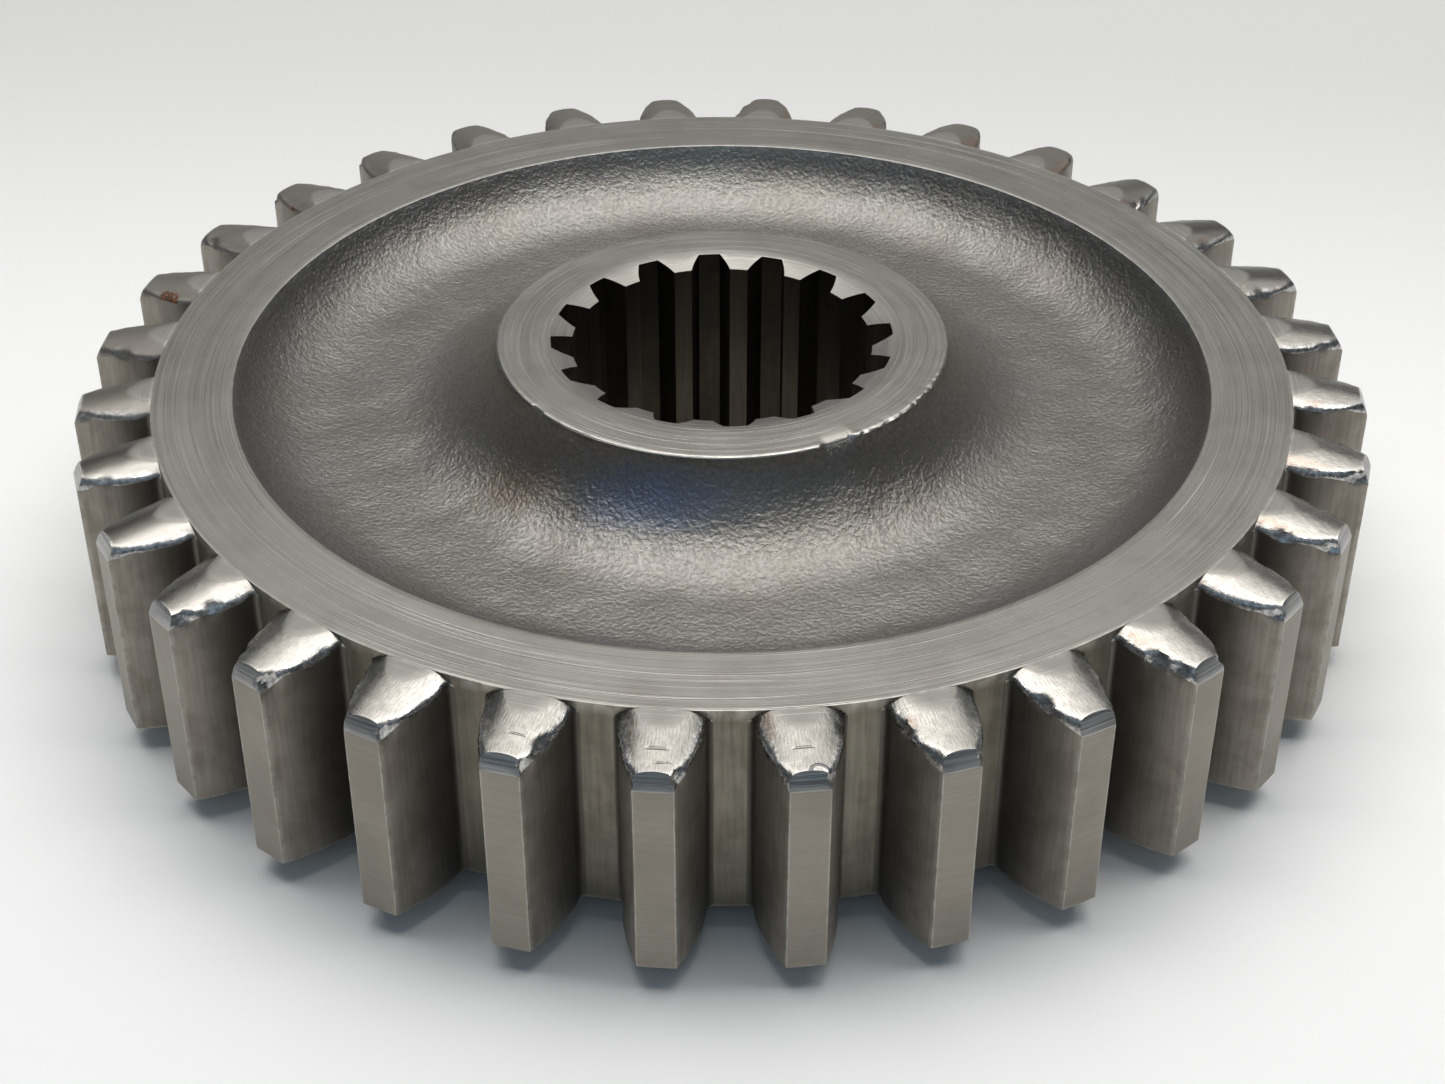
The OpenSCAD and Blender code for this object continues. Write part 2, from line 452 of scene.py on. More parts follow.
bore_z = hub_top - mouth_fall - (hub_top - 2 * mouth_fall) * np.linspace(0, 1, 6)[:, None]
add_ring(bore_r, bore_a, bore_z, "bore")
print("patches:", len(patch_points), "quads:", sum(map(len, patch_faces)))

# %% [markdown]
# ## One closed skin
# The patches go into one mesh, and points that lie on top of each other are merged. The test
# at the end counts edges that don't have exactly two faces: a closed skin has none.

# %% Merge the patchwork into the gear's mesh
MERGE = 2e-6


def store(name, values):
    """Keeps one number for each point of the gear under a name."""
    data = gear_mesh.attributes.new(name, "FLOAT", "POINT")
    data.data.foreach_set("value", np.asarray(values, dtype=np.float32))


gear_mesh = bpy.data.meshes.new("worn_gear")
gear_mesh.from_pydata(np.concatenate(patch_points) * MM, [], np.concatenate(patch_faces))
gear_mesh.polygons.foreach_set("material_index", np.concatenate(patch_zones))
store("crease", np.concatenate(patch_rub_glints))
skin = bmesh.new()
skin.from_mesh(gear_mesh)
bmesh.ops.remove_doubles(skin, verts=skin.verts, dist=MERGE)
bmesh.ops.dissolve_degenerate(skin, edges=skin.edges, dist=MERGE)
bmesh.ops.recalc_face_normals(skin, faces=skin.faces)
open_edges = sum(len(e.link_faces) != 2 for e in skin.edges)
skin.to_mesh(gear_mesh)
skin.free()
gear_mesh.calc_loop_triangles()
print("triangles:", len(gear_mesh.loop_triangles), "open edges:", open_edges)

# %% [markdown]
# ## Wear in the shape
# A forging's skin is never quite smooth, the tooth ends are bruised, and part of the hub's
# edge has crumbled. A Displace modifier could do one of these. Here each kind has its own
# mask, and smooth random waves of set lengths, all from one seed, move the points.

# %% Where every point lies on the gear
count = len(gear_mesh.vertices)
place = np.empty(count * 3)
gear_mesh.vertices.foreach_get("co", place)
place = place.reshape(-1, 3) / MM
normal = np.empty(count * 3, dtype=np.float32)
gear_mesh.vertex_normals.foreach_get("vector", normal)
normal = normal.reshape(-1, 3).astype(float)
radius = np.hypot(place[:, 0], place[:, 1])
height = place[:, 2].copy()
turn = np.arctan2(place[:, 1], place[:, 0])
off_centre = turn - np.round(turn / tooth_pitch) * tooth_pitch
from_flank = radius * (np.interp(radius, flank_r, flank_a) - np.abs(off_centre))
toothed = radius > root_r - 0.05
print("points:", count, "of which on the teeth:", int(toothed.sum()))

# %% Move the points by smooth random waves
crumbled_turn = math.radians(-38)


def waves(points, shortest, longest, number):
    """Sum of plane waves with random directions, lengths and phases, scaled to a spread of 1:
    the sum of their cosines times the root of two over their number."""
    way = rng.normal(size=(3, number))
    way *= 2 * math.pi / rng.uniform(shortest, longest, number) / np.linalg.norm(way, axis=0)
    phase = rng.uniform(0, 2 * math.pi, number)
    return np.cos(points @ way + phase).sum(axis=1) * math.sqrt(2 / number)


in_web = ramp(radius, hub_r + 0.1, hub_r + 3) * ramp(recess_r - radius, 0.1, 3)
in_web *= (height < rim_top - 0.01) & (height > rim_low + 0.01)
lumps = 0.045 * waves(place, 6, 15, 40) + 0.012 * waves(place, 2.5, 4.5, 60)
at_end = ramp(rim_top - height, 0.02, 0.3) * ramp(height, rim_top - 4.5, rim_top - 3)
at_end *= ramp(radius, root_r + 0.3, root_r + 1.5)
rolled_edge = at_end * ramp(-from_flank, -1.1, -0.3)
bruises = 0.009 * waves(place, 2.5, 5, 60) + 0.02 * rolled_edge * waves(place, 1.2, 2.6, 60)
at_hub = ramp(radius, hub_r - 0.6, hub_r - 0.1)
at_hub = at_hub * (radius < hub_r + 0.05) * (height > hub_top - 0.5)
at_hub = at_hub * ramp(np.cos(turn - crumbled_turn), 0.85, 0.97)
crumbs = 0.07 * waves(place, 0.9, 2.2, 60)
place += normal * (in_web * lumps + at_end * bruises + at_hub * crumbs)[:, None]
moved = [np.abs(move).max() for move in (in_web * lumps, at_end * bruises, at_hub * crumbs)]
print("moved by up to, mm: web {:.2f}, ends {:.2f}, hub {:.2f}".format(*moved))

# %% [markdown]
# ## Chips
# A chip is a flat: every point of a corner that stands beyond a plane is pressed back onto it.
# A boolean cut would break up the grid. The larger chips are where the real gear has them, on
# the front tooth ends and the hub's edge, and smaller ones are strewn over all tooth ends.

# %% Helpers that press a chip
def press_flat(centre, outward, depth, reach):
    """Presses points near the centre back to the plane that lies a depth below it."""
    outward = np.asarray(outward, float) / np.linalg.norm(outward)
    near = np.linalg.norm(place - centre, axis=1)
    above = np.clip((place - centre) @ outward + depth, 0, None)
    place[:] = place - outward * (above * ramp(reach - near, 0, 0.35 * reach))[:, None]


UPWARD = 0.9


def edge_point(tooth, side, r):
    """Point on the upper flank edge of a tooth, and the direction out of that edge."""
    angle = tooth * tooth_pitch + side * np.interp(r, flank_r, flank_a)
    column = -1 if side > 0 else 0
    z = np.interp(r, grid_r[tooth % teeth, :, column], end_z[tooth % teeth, :, column])
    return polar(r, angle, z), np.array([-side * math.sin(angle), side * math.cos(angle), UPWARD])


print("edge of the first tooth, mm:", np.round(edge_point(0, 1, pitch_r)[0], 2))

# %% Press chips into the edges
# Tooth, side, radius, depth and reach of each larger chip
named_chips = [
    (-11, 1, 84.7, 0.55, 1.8), (-10, 1, 84.9, 0.35, 1.4), (-9, 1, 84.9, 0.3, 1.4),
    (-9, 1, 82.0, 0.2, 1.8), (-8, 1, 84.6, 0.25, 1.6), (-4, -1, 81.0, 0.25, 1.8),
    (-4, -1, 83.4, 0.2, 1.5), (-5, -1, 80.6, 0.16, 1.8), (-6, -1, 79.2, 0.16, 1.5),
    (-2, -1, 84.4, 0.2, 1.4), (-3, -1, 84.6, 0.2, 1.3), (-12, 1, 83.8, 0.2, 1.6),
]
for tooth, side, r, depth, reach in named_chips:
    centre, outward = edge_point(tooth, side, r)
    press_flat(centre, outward, depth, reach)
strewn = 2
for tooth in range(teeth):
    for r in rng.uniform(root_r + 2.5, tip_r, strewn):
        centre, outward = edge_point(tooth, rng.choice([-1, 1]), r)
        outward = outward + rng.normal(0, 0.3, 3)
        press_flat(centre, outward, rng.uniform(0.03, 0.1), rng.uniform(0.8, 1.6))
# Turn in degrees, depth and reach of each nick in the hub's edge
hub_nicks = [(-55.9, 0.85, 2.8), (-53.2, 0.4, 1.5), (-136.7, 0.35, 1.3)]
for degrees, depth, reach in hub_nicks:
    nick_a = math.radians(degrees)
    outward = [math.cos(nick_a), math.sin(nick_a), UPWARD]
    press_flat(polar(hub_r, nick_a, hub_top), outward, depth, reach)
gear_mesh.vertices.foreach_set("co", (place * MM).ravel())
gear_mesh.update()
print("chips pressed:", len(named_chips) + strewn * teeth + len(hub_nicks))

# %% [markdown]
# ## Masks for the finishes
# A finish needs to know where an edge is rubbed bright and gets a painted highlight, how far a
# point is from the middle of its tooth or where rust has taken hold. Masks could be painted by
# hand, but these follow from the sizes. They are stored on the points as attributes, which the
# materials read.

# %% Store the masks of edges and tooth ends
def near_edge(distance, width):
    """Mask that is 1 on an edge and falls evenly to 0 over a width."""
    return np.clip(1 - np.abs(distance) / width, 0, 1)


crease_rub_glint = np.empty(count, dtype=np.float32)
gear_mesh.attributes["crease"].data.foreach_get("value", crease_rub_glint)
# Edges that are worn bright and also given a painted highlight, a thin bright line
edge = np.max([
    0.8 * near_edge(radius - recess_r, 0.2) * (height > rim_top - 0.3),
    0.8 * near_edge(radius - root_r, 0.3) * (height > rim_top - lip - 0.05),
    near_edge(radius - hub_r + hub_chamfer, 0.3) * (height > hub_top - 0.4),
    0.9 * crease_rub_glint,
    near_edge(radius - tip_r, 0.15) * near_edge(from_flank, 0.16),
    0.6 * near_edge(height - rim_low, 0.3) * toothed,
], axis=0)
store("edge_rub", edge)
store("off_centre", np.where(toothed, off_centre * radius, 0))
store("rolled_edge", rolled_edge)
print("points on a rubbed edge:", int((edge > 0.5).sum()))

# %% Store the mask of rust
# Turn in degrees, radius and size of each spot, all on the tooth ends at the left
rust_spots = [
    (160.4, 84.9, 1.1), (171.9, 79.6, 1.3), (171.4, 80.4, 0.8), (182.0, 78.0, 0.5),
    (149.5, 79.0, 0.5),
]
rust = np.zeros(count)
for degrees, r, size in rust_spots:
    spot = polar(r, math.radians(degrees), rim_top - 1.3 - 0.5 * max(0, r - 82))
    rust = np.maximum(rust, np.exp(-(np.linalg.norm(place - spot, axis=1) / size) ** 2))
store("rust_spot", rust)
print("points under rust:", int((rust > 0.5).sum()))

# %% [markdown]
# ## Making materials by script
# A material is a small graph of nodes. It could be drawn in the shader editor, but a script
# shows every value. These helpers add a node, set its values by socket name and link what is
# handed to them, so that each finish below reads as a short list of steps.

# %% Helpers that add nodes
def set_inputs(tree, made, inputs):
    """Sets a node's sockets, by name or number, to values or links them to other outputs."""
    for name, value in inputs.items():
        if isinstance(value, bpy.types.NodeSocket):
            tree.links.new(value, made.inputs[name])
        else:
            made.inputs[name].default_value = value


def add_node(tree, kind, inputs=None, **settings):
    """Adds a node with its settings and inputs."""
    made = tree.nodes.new(kind)
    for name, value in settings.items():
        setattr(made, name, value)
    set_inputs(tree, made, inputs or {})
    return made


def calc(tree, operation, a, b=0.0):
    """One operation on one or two numbers."""
    return add_node(tree, "ShaderNodeMath", {0: a, 1: b}, operation=operation).outputs[0]


def on_two(operation):
    """A helper for one operation on two numbers."""
    return lambda tree, a, b: calc(tree, operation, a, b)


plus, less, times = on_two("ADD"), on_two("SUBTRACT"), on_two("MULTIPLY")


def vec(tree, operation, a, b=(0, 0, 0)):
    """One operation on one or two vectors that gives a vector."""
    return add_node(tree, "ShaderNodeVectorMath", {0: a, 1: b}, operation=operation).outputs[0]


def measure(tree, operation, a, b=(0, 0, 0)):
    """One operation on one or two vectors that gives a number."""
    return vec(tree, operation, a, b).node.outputs["Value"]


print("helpers for nodes ready")

# %% Helpers for noise and colours
def remap(tree, value, low, high, to_low=0.0, to_high=1.0):
    """Maps a number smoothly from one range to another, clamped at both ends."""
    return add_node(tree, "ShaderNodeMapRange", {
        "Value": value, "From Min": low, "From Max": high, "To Min": to_low, "To Max": to_high,
    }, interpolation_type="SMOOTHSTEP").outputs["Result"]


def mix(tree, share, a, b):
    """Mixes two colours by a share."""
    return add_node(tree, "ShaderNodeMix", {0: share, 6: a, 7: b}, data_type="RGBA").outputs[2]


def noise(tree, vector, scale, detail=2.0, roughness=0.5):
    """Soft random value between 0 and 1, with the scale in bumps per unit of the vector."""
    return add_node(tree, "ShaderNodeTexNoise", {
        "Vector": vector, "Scale": scale, "Detail": detail, "Roughness": roughness,
    }).outputs["Fac"]


def mask(tree, name):
    """One of the masks on the gear's points."""
    return add_node(tree, "ShaderNodeAttribute", attribute_name=name).outputs["Fac"]


print("helpers for noise and colours ready")

# %% Helpers for groups and materials
SOCKETS = {"VALUE": "NodeSocketFloat", "VECTOR": "NodeSocketVector", "RGBA": "NodeSocketColor"}


def new_group(name, inputs):
    """A node group with named inputs; returns its tree and those inputs."""
    tree = bpy.data.node_groups.new(name, "ShaderNodeTree")
    for socket, value in inputs.items():
        kind = SOCKETS["VECTOR" if isinstance(value, tuple) else "VALUE"]
        tree.interface.new_socket(socket, in_out="INPUT", socket_type=kind).default_value = value
    return tree, tree.nodes.new("NodeGroupInput").outputs


def give(tree, results):
    """Links results to named outputs of a group and returns the finished group."""
    for name, value in results.items():
        tree.interface.new_socket(name, in_out="OUTPUT", socket_type=SOCKETS[value.type])
    set_inputs(tree, tree.nodes.new("NodeGroupOutput"), results)
    print(f"group {tree.name} of {len(tree.nodes)} nodes gives", list(results))
    return tree


def use(tree, group, inputs=None):
    """Places a group in a graph, sets its inputs and returns its outputs."""
    made = tree.nodes.new("ShaderNodeGroup")
    made.node_tree = group
    set_inputs(tree, made, inputs or {})
    return made.outputs


def new_material(name):
    """A material that is ready for a finish, and its graph."""
    material = bpy.data.materials.new(name)
    material.use_nodes = True
    return material, material.node_tree


def wire(material, colour, roughness, metal, relief, strength, depth):
    """Joins a finish to its shader, with its relief as a bump of some strength and depth."""
    tree = material.node_tree
    raised = add_node(tree, "ShaderNodeBump", {
        "Height": relief, "Strength": strength, "Distance": depth,
    })
    set_inputs(tree, tree.nodes["Principled BSDF"], {
        "Base Color": colour, "Roughness": roughness, "Metallic": metal,
        "Normal": raised.outputs["Normal"],
    })
    print(f"finish {material.name} of {len(tree.nodes)} nodes")


print("helpers for groups and materials ready")

# %% [markdown]
# ## Effects that several finishes share
# Every finish asks where it is on the gear: at which radius and height, and in which direction
# from the axis. Turning leaves fine lines with a few deeper scores, edges are rubbed bright and
# get a painted highlight, and an uneven film of oil and dirt lies over everything, dotted with
# light specks that are a painted sparkle. Each of these is a node group, so that a change to it
# reaches every finish that uses it.

# %% Group: place on the gear
tree, _ = new_group("place_on_gear", {})
point = add_node(tree, "ShaderNodeTexCoord").outputs["Object"]
point = vec(tree, "MULTIPLY", point, (1 / MM, 1 / MM, 1 / MM))
flat = vec(tree, "MULTIPLY", point, (1, 1, 0))
place_group = give(tree, {
    "Radius": measure(tree, "LENGTH", flat),
    "Height": add_node(tree, "ShaderNodeSeparateXYZ", {0: point}).outputs["Z"],
    "Round": vec(tree, "NORMALIZE", flat),
    "Point": point,
})

# %% Group: lines left by a turning tool
tree, given = new_group("turning_lines", {"Feed": 0.0, "Pitch": 0.25, "Scores": 0.3})
here = use(tree, place_group)
step = calc(tree, "DIVIDE", given["Feed"], given["Pitch"])
step = add_node(tree, "ShaderNodeCombineXYZ", {"Z": step}).outputs[0]
spot = vec(tree, "MULTIPLY", here["Round"], (1.6, 1.6, 0))
spot = vec(tree, "ADD", spot, step)
sparse = vec(tree, "MULTIPLY", spot, (0.9, 0.9, 0.9))
score = remap(tree, noise(tree, sparse, 1.0, 1.0), 0.64, 0.71)
lines_group = give(tree, {
    "Lines": noise(tree, spot, 1.0, 3.0, 0.6),
    "Score": times(tree, score, given["Scores"]),
})

# %% Group: edges rubbed bright, each with a painted highlight
tree, given = new_group("edge_rub", {"Edge": 0.0, "Size": 1.5})
here = use(tree, place_group)
broken = noise(tree, here["Point"], calc(tree, "DIVIDE", 1.0, given["Size"]), 3.0)
broken = remap(tree, broken, 0.35, 0.6, 0.3, 1.0)
rub_glint_group = give(tree, {"Mask": times(tree, given["Edge"], broken)})

# %% Group: film of oil and dirt, and light specks that are a painted sparkle
tree, given = new_group("oil_film", {"Size": 9.0})
here = use(tree, place_group)
cloud = calc(tree, "DIVIDE", 1.0, given["Size"])
cloud = noise(tree, here["Point"], cloud, 5.0, 0.6)
film_group = give(tree, {
    "Film": remap(tree, cloud, 0.38, 0.66),
    "Glint_Specks": remap(tree, noise(tree, here["Point"], 1.6), 0.7, 0.76),
})

# %% [markdown]
# ## Marks at a given place
# The real gear has a few marks that one would know it by: rust on some tooth ends, a stain on
# the web, a round dent and scratches. A bluish patch on the web is a painted reflection. An
# image could hold them, but it would blur close up.
# So each is a group that works out its own mask from a place and a size in millimetres.

# %% Group: rust
tree, given = new_group("rust", {"Spot": 0.0})
here = use(tree, place_group)
patchy = remap(tree, noise(tree, here["Point"], 1.6, 4.0), 0.3, 0.6, 0.4, 1.0)
flaky = remap(tree, noise(tree, here["Point"], 2.6), 0.4, 0.6)
rust_group = give(tree, {
    "Mask": remap(tree, times(tree, given["Spot"], patchy), 0.12, 0.4),
    "Tone": mix(tree, flaky, (0.05, 0.025, 0.012, 1), (0.20, 0.085, 0.035, 1)),
})

# %% Group: a soft patch of another colour
MIDDLE = (0.0, 0.0, 0.0)
tree, given = new_group("soft_patch", {"Centre": MIDDLE, "Reach": (1.0, 1.0, 1.0)})
here = use(tree, place_group)
away = vec(tree, "SUBTRACT", here["Point"], given["Centre"])
away = measure(tree, "LENGTH", vec(tree, "DIVIDE", away, given["Reach"]))
ragged = times(tree, noise(tree, here["Point"], 0.4, 4.0), 0.8)
ragged = plus(tree, away, ragged)
patch_group = give(tree, {"Mask": remap(tree, ragged, 0.5, 1.4, 1.0, 0.0)})

# %% Group: a round dent
tree, given = new_group("round_dent", {"Centre": MIDDLE, "Size": 1.0})
here = use(tree, place_group)
away = vec(tree, "SUBTRACT", here["Point"], given["Centre"])
away = calc(tree, "DIVIDE", measure(tree, "LENGTH", away), given["Size"])
from_ring = calc(tree, "ABSOLUTE", less(tree, away, 1.0))
dent_group = give(tree, {
    "Bowl": remap(tree, away, 0.5, 1.0, 1.0, 0.0),
    "Ring": remap(tree, from_ring, 0.08, 0.22, 1.0, 0.0),
})

# %% Group: a short scratch
tree, given = new_group("short_scratch", {
    "Centre": MIDDLE, "Along": (1.0, 0.0, 0.0), "Length": 1.0, "Width": 0.2,
})
here = use(tree, place_group)
away = vec(tree, "SUBTRACT", here["Point"], given["Centre"])
along = measure(tree, "DOT_PRODUCT", away, given["Along"])
on_line = add_node(tree, "ShaderNodeVectorMath", {
    0: given["Along"], "Scale": along,
}, operation="SCALE").outputs[0]
aside = measure(tree, "LENGTH", vec(tree, "SUBTRACT", away, on_line))
aside = calc(tree, "DIVIDE", aside, given["Width"])
along = calc(tree, "DIVIDE", calc(tree, "ABSOLUTE", along), given["Length"])
thin = remap(tree, aside, 0.4, 1.0, 1.0, 0.0)
short = remap(tree, along, 0.5, 1.0, 1.0, 0.0)
scratch_group = give(tree, {"Mask": times(tree, thin, short)})

# %% [markdown]
# ## Turned faces
# The rim and hub faces were turned on a lathe and then dulled by years in oil. Fine rings
# follow the radius, a few deeper scores shine, and the edges carry a thin bright line,
# partly wear and partly a painted highlight. The rings are far finer than the mesh, so they are
# a bump in the material. Tip lands and caps were turned too, and their lines follow the height.

# %% Material: turned steel
TURNED_DARK, TURNED_LIGHT = (0.287, 0.276, 0.256, 1), (0.336, 0.323, 0.299, 1)
TURNED_PITCH = 0.17
# Bare steel of the deeper scores, also the colour of the painted highlight on edges
BARE_STEEL_AND_GLINT = (0.50, 0.485, 0.45, 1)
OLD_OIL = (0.19, 0.175, 0.148, 1)


def turned_steel(name, dark, light, rough, feed, pitch, scores, bump):
    """Lathe-turned steel whose lines follow the given feed, radius or height."""
    material, tree = new_material(name)
    here = use(tree, place_group)
    marks = use(tree, lines_group, {"Feed": here[feed], "Pitch": pitch, "Scores": scores})
    film = use(tree, film_group)
    rub_glint = use(tree, rub_glint_group, {"Edge": mask(tree, "edge_rub")})
    rusty = use(tree, rust_group, {"Spot": mask(tree, "rust_spot")})
    # Bright marks: deeper scores of bare steel, and edges partly worn and partly a painted
    # highlight
    bright = calc(tree, "MAXIMUM", marks["Score"], rub_glint["Mask"])
    colour = mix(tree, remap(tree, marks["Lines"], 0.3, 0.7), dark, light)
    colour = mix(tree, times(tree, film["Film"], 0.3), colour, OLD_OIL)
    colour = mix(tree, bright, colour, BARE_STEEL_AND_GLINT)
    colour = mix(tree, rusty["Mask"], colour, rusty["Tone"])
    roughness = remap(tree, marks["Lines"], 0.3, 0.7, rough - 0.05, rough + 0.05)
    roughness = less(tree, roughness, times(tree, bright, 0.1))
    relief = less(tree, marks["Lines"], times(tree, marks["Score"], 0.6))
    wire(material, colour, roughness, 1.0, relief, bump, 0.08 * MM)


turned_steel("turned_face", TURNED_DARK, TURNED_LIGHT, 0.4, "Radius", TURNED_PITCH, 0.8, 0.45)
turned_steel(
    "tip_land", (0.29, 0.268, 0.232, 1), (0.345, 0.318, 0.272, 1), 0.48, "Height", 0.2, 0.1, 0.3)
turned_steel(
    "cap", (0.40, 0.395, 0.39, 1), (0.62, 0.61, 0.60, 1), 0.34, "Height", 0.25, 0.5, 0.5)

# %% [markdown]
# ## Forged web
# The web keeps the skin that the forging die left: a dark scale with a bumpy grain like orange
# peel, brownish in patches and with an oily sheen. Light specks on it are a painted sparkle, and
# a bluish patch before the hub is a painted reflection. The lumps are in the mesh already. The
# grain is too fine for that, so two layers of noise raise it as a bump.

# %% Material: forged skin
SCALE_DARK, SCALE_LIGHT = (0.19, 0.182, 0.168, 1), (0.255, 0.246, 0.229, 1)
forged_web, tree = new_material("forged_web")
here = use(tree, place_group)
grain = noise(tree, here["Point"], 1.8, 4.0, 0.58)
swell = noise(tree, here["Point"], 0.6, 2.0)
film = use(tree, film_group, {"Size": 14.0})
rub_glint = use(tree, rub_glint_group, {"Edge": mask(tree, "edge_rub")})
colour = mix(tree, remap(tree, grain, 0.35, 0.65), SCALE_DARK, SCALE_LIGHT)
colour = mix(tree, times(tree, film["Film"], 0.3), colour, (0.19, 0.165, 0.135, 1))
# The first patch is a painted bluish reflection before the hub, the second a brown stain
STAIN_AND_REFLECTION_SHARE = 0.6
for centre, reach, tint in (
    ((-7.0, -31.5, 30.5), (16, 6, 6), (0.145, 0.185, 0.29, 1)),
    ((-23.5, -26.0, 27.5), (8, 6, 6), (0.21, 0.155, 0.12, 1)),
):
    stain_and_reflection = use(tree, patch_group, {"Centre": centre, "Reach": reach})
    colour = mix(tree, times(tree, stain_and_reflection["Mask"], STAIN_AND_REFLECTION_SHARE), colour, tint)
# Painted sparkle and edge highlight: light specks, and the worn edges' bright line
shiny = calc(tree, "MAXIMUM", film["Glint_Specks"], rub_glint["Mask"])
colour = mix(tree, shiny, colour, (0.36, 0.35, 0.325, 1))
roughness = remap(tree, grain, 0.3, 0.7, 0.38, 0.3)
relief = plus(tree, grain, times(tree, swell, 0.6))
wire(forged_web, colour, roughness, 0.9, relief, 0.8, 0.21 * MM)

# %% [markdown]
# ## Rounded ends
# The ends are burnished by every gear change: bright metal with bruises, coppery where it got
# too hot along an edge. Light and shade are painted on them too: the ends at the front lighter,
# those at the back duller, a darker ridge on the others, and glints on the rolled edges. Where the
# end is flush with the rim, the turned face goes on as a tongue. A cut in the mesh would be too
# sharp a border, so the fall of the crown below the rim's plane is worked out again in the
# graph, and the finish fades in with it.

# %% Where a point lies on its tooth end
FRONT = (0.5, -0.866, 0)
rounded_end, tree = new_material("rounded_end")
here = use(tree, place_group)
aside = mask(tree, "off_centre")
rolled = mask(tree, "rolled_edge")
ridge_fall = math.tan(math.radians(mean_slope))
slope_fall = times(tree, less(tree, here["Radius"], end_start_r), ridge_fall)
chord = calc(tree, "SQRT", less(tree, end_crown**2, times(tree, aside, aside)))
fall = plus(tree, slope_fall, less(tree, end_crown, chord))
worn = remap(tree, fall, -0.06, 0.14)
ridge = remap(tree, calc(tree, "ABSOLUTE", aside), 0.8, 2.6)
# Which way an end faces: ends at the front are painted lighter, those at the back darker
facing = measure(tree, "DOT_PRODUCT", here["Round"], FRONT)
front = remap(tree, facing, -0.1, 0.8)
rear = remap(tree, facing, -0.5, 0.0, 1.0, 0.0)
print(f"the ridge falls by {ridge_fall:.3f} from radius {end_start_r:.2f} on")

# %% Grain of the burnished metal
marks = use(tree, lines_group, {
    "Feed": here["Radius"], "Pitch": TURNED_PITCH, "Scores": 0.6,
})
film = use(tree, film_group, {"Size": 3.0})
rub_glint = use(tree, rub_glint_group, {"Edge": mask(tree, "edge_rub")})
flow = noise(tree, here["Point"], 0.7, 4.0, 0.6)
torn = noise(tree, here["Point"], 2.0, 3.0, 0.6)
local = add_node(tree, "ShaderNodeCombineXYZ", {
    "X": times(tree, aside, 5.0), "Y": times(tree, here["Radius"], 0.8),
}).outputs[0]
seeded = vec(tree, "MULTIPLY", here["Round"], (9, 9, 0))
hair = noise(tree, vec(tree, "ADD", local, seeded), 1.0, 4.0, 0.6)
print("nodes so far:", len(tree.nodes))

# %% Colours of the burnished metal
plain = mix(tree, remap(tree, marks["Lines"], 0.3, 0.7), TURNED_DARK, TURNED_LIGHT)
plain = mix(tree, marks["Score"], plain, BARE_STEEL_AND_GLINT)
combed = remap(tree, hair, 0.3, 0.7)
bright = mix(tree, combed, (0.25, 0.24, 0.221, 1), (0.385, 0.37, 0.34, 1))
# Painted shade: the ridge is darker than the slopes beside it
shaded_ridge = mix(tree, ridge, (0.15, 0.142, 0.128, 1), (0.31, 0.296, 0.27, 1))
# Painted light and shade by facing: front ends keep the lighter combed colour, rear ends a dull one
bright = mix(tree, front, shaded_ridge, bright)
bright = mix(tree, rear, bright, (0.235, 0.219, 0.195, 1))
copper = times(tree, remap(tree, aside, -2.2, -4.0), remap(tree, film["Film"], 0.2, 0.8))
bright = mix(tree, times(tree, copper, 0.55), bright, (0.27, 0.165, 0.11, 1))
# Painted glints on the rolled edges: light flecks that fade on the ends at the back
jagged = remap(tree, torn, 0.38, 0.62)
spark = mix(tree, jagged, (0.4, 0.395, 0.385, 1), (0.85, 0.845, 0.83, 1))
sparkling = times(tree, rolled, remap(tree, rear, 0.0, 1.0, 0.6, 0.1))
bright = mix(tree, sparkling, bright, spark)
colour = mix(tree, worn, plain, bright)
# Edges partly worn and partly given a painted highlight
colour = mix(tree, rub_glint["Mask"], colour, (0.5, 0.485, 0.46, 1))
print("nodes so far:", len(tree.nodes))

# %% Marks on the ends: a round dent, scratches and rust
dent = use(tree, dent_group, {"Centre": (17.45, -82.62, 30.7), "Size": 1.05})
colour = mix(tree, times(tree, dent["Ring"], 0.7), colour, (0.10, 0.10, 0.11, 1))
# Centre, direction, length and width of each scratch
scratches = [
    ((0.0, -81.04, 31.67), (1.0, 0.0, 0.0), 1.5, 0.28),
    ((15.57, -79.54, 31.67), (0.98, 0.19, 0.0), 1.4, 0.22),
    ((0.9, -82.9, 31.2), (0.97, 0.2, -0.1), 1.1, 0.2),
    ((-15.2, -79.9, 31.6), (0.98, -0.19, 0.0), 1.2, 0.18),
]
scratch = 0.0
for centre, way, long, wide in scratches:
    made = use(tree, scratch_group, {
        "Centre": centre, "Along": way, "Length": long, "Width": wide,
    })
    scratch = calc(tree, "MAXIMUM", made["Mask"], scratch)
colour = mix(tree, times(tree, scratch, 0.5), colour, (0.16, 0.15, 0.14, 1))
rusty = use(tree, rust_group, {"Spot": mask(tree, "rust_spot")})
colour = mix(tree, rusty["Mask"], colour, rusty["Tone"])
print("scratches:", len(scratches))

